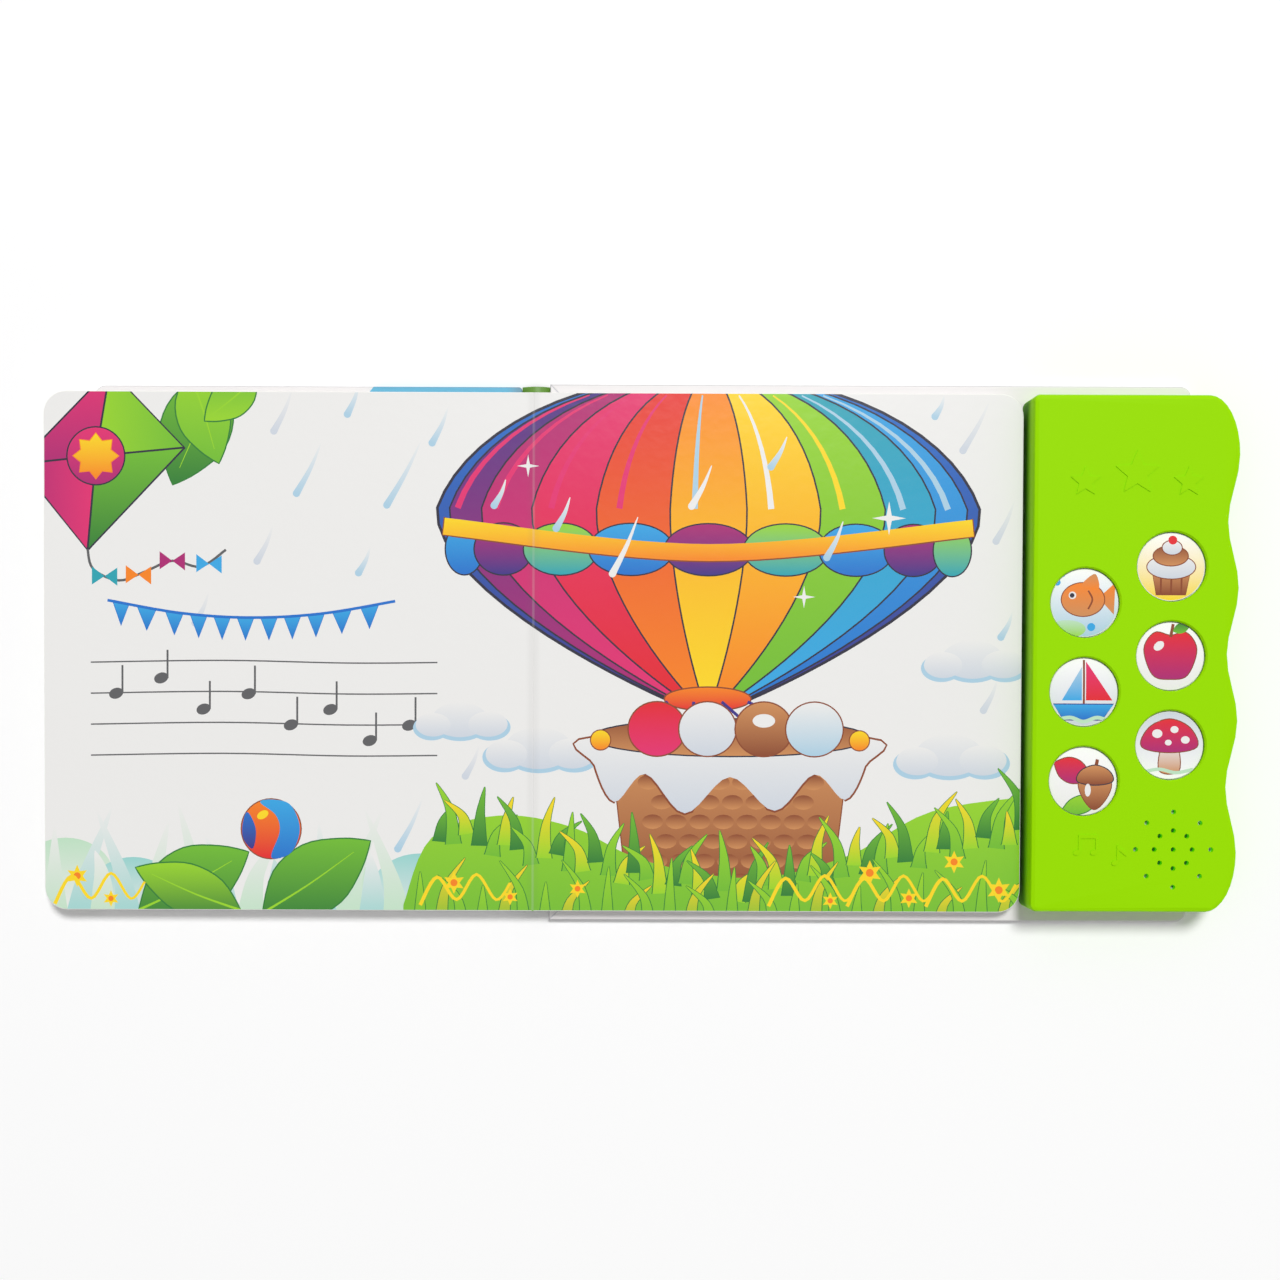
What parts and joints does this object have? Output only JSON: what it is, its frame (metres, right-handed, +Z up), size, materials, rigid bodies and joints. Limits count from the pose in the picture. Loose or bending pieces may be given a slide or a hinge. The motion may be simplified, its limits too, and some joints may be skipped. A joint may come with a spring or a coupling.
{
  "type": "sound book",
  "caption": "Open board book with printed pages, a hinged front cover and a plastic sound unit with round picture buttons and a speaker on the back cover.",
  "frame": {"origin": "under the middle of the whole open book, on the surface that it lies on", "axes": "+X along the open spread towards the sound unit, +Y towards the top of the pages, +Z up out of the printed pages"},
  "size_m": [0.4208, 0.192, 0.0183],
  "materials": {
    "cover_white": "satin laminated white paper over greyboard",
    "spine_green": "satin laminated green paper",
    "page_board": "glossy coated board with a printed picture",
    "lime_plastic": "moulded, finely textured semi-gloss",
    "button_white": "smooth moulded",
    "label_print": "glossy printed label",
    "rubber_grey": "matte silicone",
    "circuit_green": "solder mask over glass laminate",
    "chip_black": "cured resin blob",
    "bare_steel": "zinc plated",
    "cone_paper": "pressed matte paper",
    "magnet_dark": "nickel plated magnet",
    "cell_steel": "bright nickel plated can",
    "contact_metal": "sprung brass strip",
    "wire_red": "soft insulation",
    "wire_black": "soft insulation"
  },
  "bodies": {
    "root": {"back_board": "cover_white", "right_pages": "page_board", "top_shell": "lime_plastic", "bottom_shell": "lime_plastic", "rubber_dome_1": "rubber_grey", "rubber_dome_2": "rubber_grey", "rubber_dome_3": "rubber_grey", "rubber_dome_4": "rubber_grey", "rubber_dome_5": "rubber_grey", "rubber_dome_6": "rubber_grey", "circuit_board": "circuit_green", "sound_chip": "chip_black", "speaker_frame": "bare_steel", "speaker_cone": "cone_paper", "speaker_magnet": "magnet_dark", "battery_cell_1": "cell_steel", "battery_cell_2": "cell_steel", "battery_cell_3": "cell_steel", "battery_link_top": "contact_metal", "battery_link_bottom": "contact_metal", "battery_terminal_negative": "contact_metal", "battery_terminal_positive": "contact_metal", "battery_door": "lime_plastic", "battery_door_screw": "bare_steel", "shell_screw_1": "bare_steel", "shell_screw_2": "bare_steel", "shell_screw_3": "bare_steel", "shell_screw_4": "bare_steel", "battery_wire_red": "wire_red", "battery_wire_black": "wire_black", "speaker_wire_red": "wire_red", "speaker_wire_black": "wire_black"},
    "front_cover": {"front_board": "cover_white", "left_pages": "page_board"},
    "spine": {"spine_strip": "spine_green"},
    "push_button_1": {"button_1": "button_white", "picture_label_1": "label_print"},
    "push_button_2": {"button_2": "button_white", "picture_label_2": "label_print"},
    "push_button_3": {"button_3": "button_white", "picture_label_3": "label_print"},
    "push_button_4": {"button_4": "button_white", "picture_label_4": "label_print"},
    "push_button_5": {"button_5": "button_white", "picture_label_5": "label_print"},
    "push_button_6": {"button_6": "button_white", "picture_label_6": "label_print"}
  },
  "joints": [
    {"name": "cover_hinge", "type": "hinge", "parent": "root", "child": "front_cover", "pos_m": [-0.03685, 0, 0.009], "axis": [0, 1, 0], "range_deg": [0, 179.5]},
    {"name": "spine_hinge", "type": "hinge", "parent": "root", "child": "spine", "pos_m": [-0.03685, 0, 0.009], "axis": [0, 1, 0], "range_deg": [0, 89.75]},
    {"name": "press_1", "type": "slide", "parent": "root", "child": "push_button_1", "axis": [0, 0, -1], "range_m": [0, 0.0008], "stiffness_N_per_m": 800, "springref_m": -0.0005, "deforming": ["rubber_dome_1"]},
    {"name": "press_2", "type": "slide", "parent": "root", "child": "push_button_2", "axis": [0, 0, -1], "range_m": [0, 0.0008], "stiffness_N_per_m": 800, "springref_m": -0.0005, "deforming": ["rubber_dome_2"]},
    {"name": "press_3", "type": "slide", "parent": "root", "child": "push_button_3", "axis": [0, 0, -1], "range_m": [0, 0.0008], "stiffness_N_per_m": 800, "springref_m": -0.0005, "deforming": ["rubber_dome_3"]},
    {"name": "press_4", "type": "slide", "parent": "root", "child": "push_button_4", "axis": [0, 0, -1], "range_m": [0, 0.0008], "stiffness_N_per_m": 800, "springref_m": -0.0005, "deforming": ["rubber_dome_4"]},
    {"name": "press_5", "type": "slide", "parent": "root", "child": "push_button_5", "axis": [0, 0, -1], "range_m": [0, 0.0008], "stiffness_N_per_m": 800, "springref_m": -0.0005, "deforming": ["rubber_dome_5"]},
    {"name": "press_6", "type": "slide", "parent": "root", "child": "push_button_6", "axis": [0, 0, -1], "range_m": [0, 0.0008], "stiffness_N_per_m": 800, "springref_m": -0.0005, "deforming": ["rubber_dome_6"]}
  ],
  "couplings": [
    {"joint": "spine_hinge", "follows": "cover_hinge", "ratio": 0.5}
  ]
}
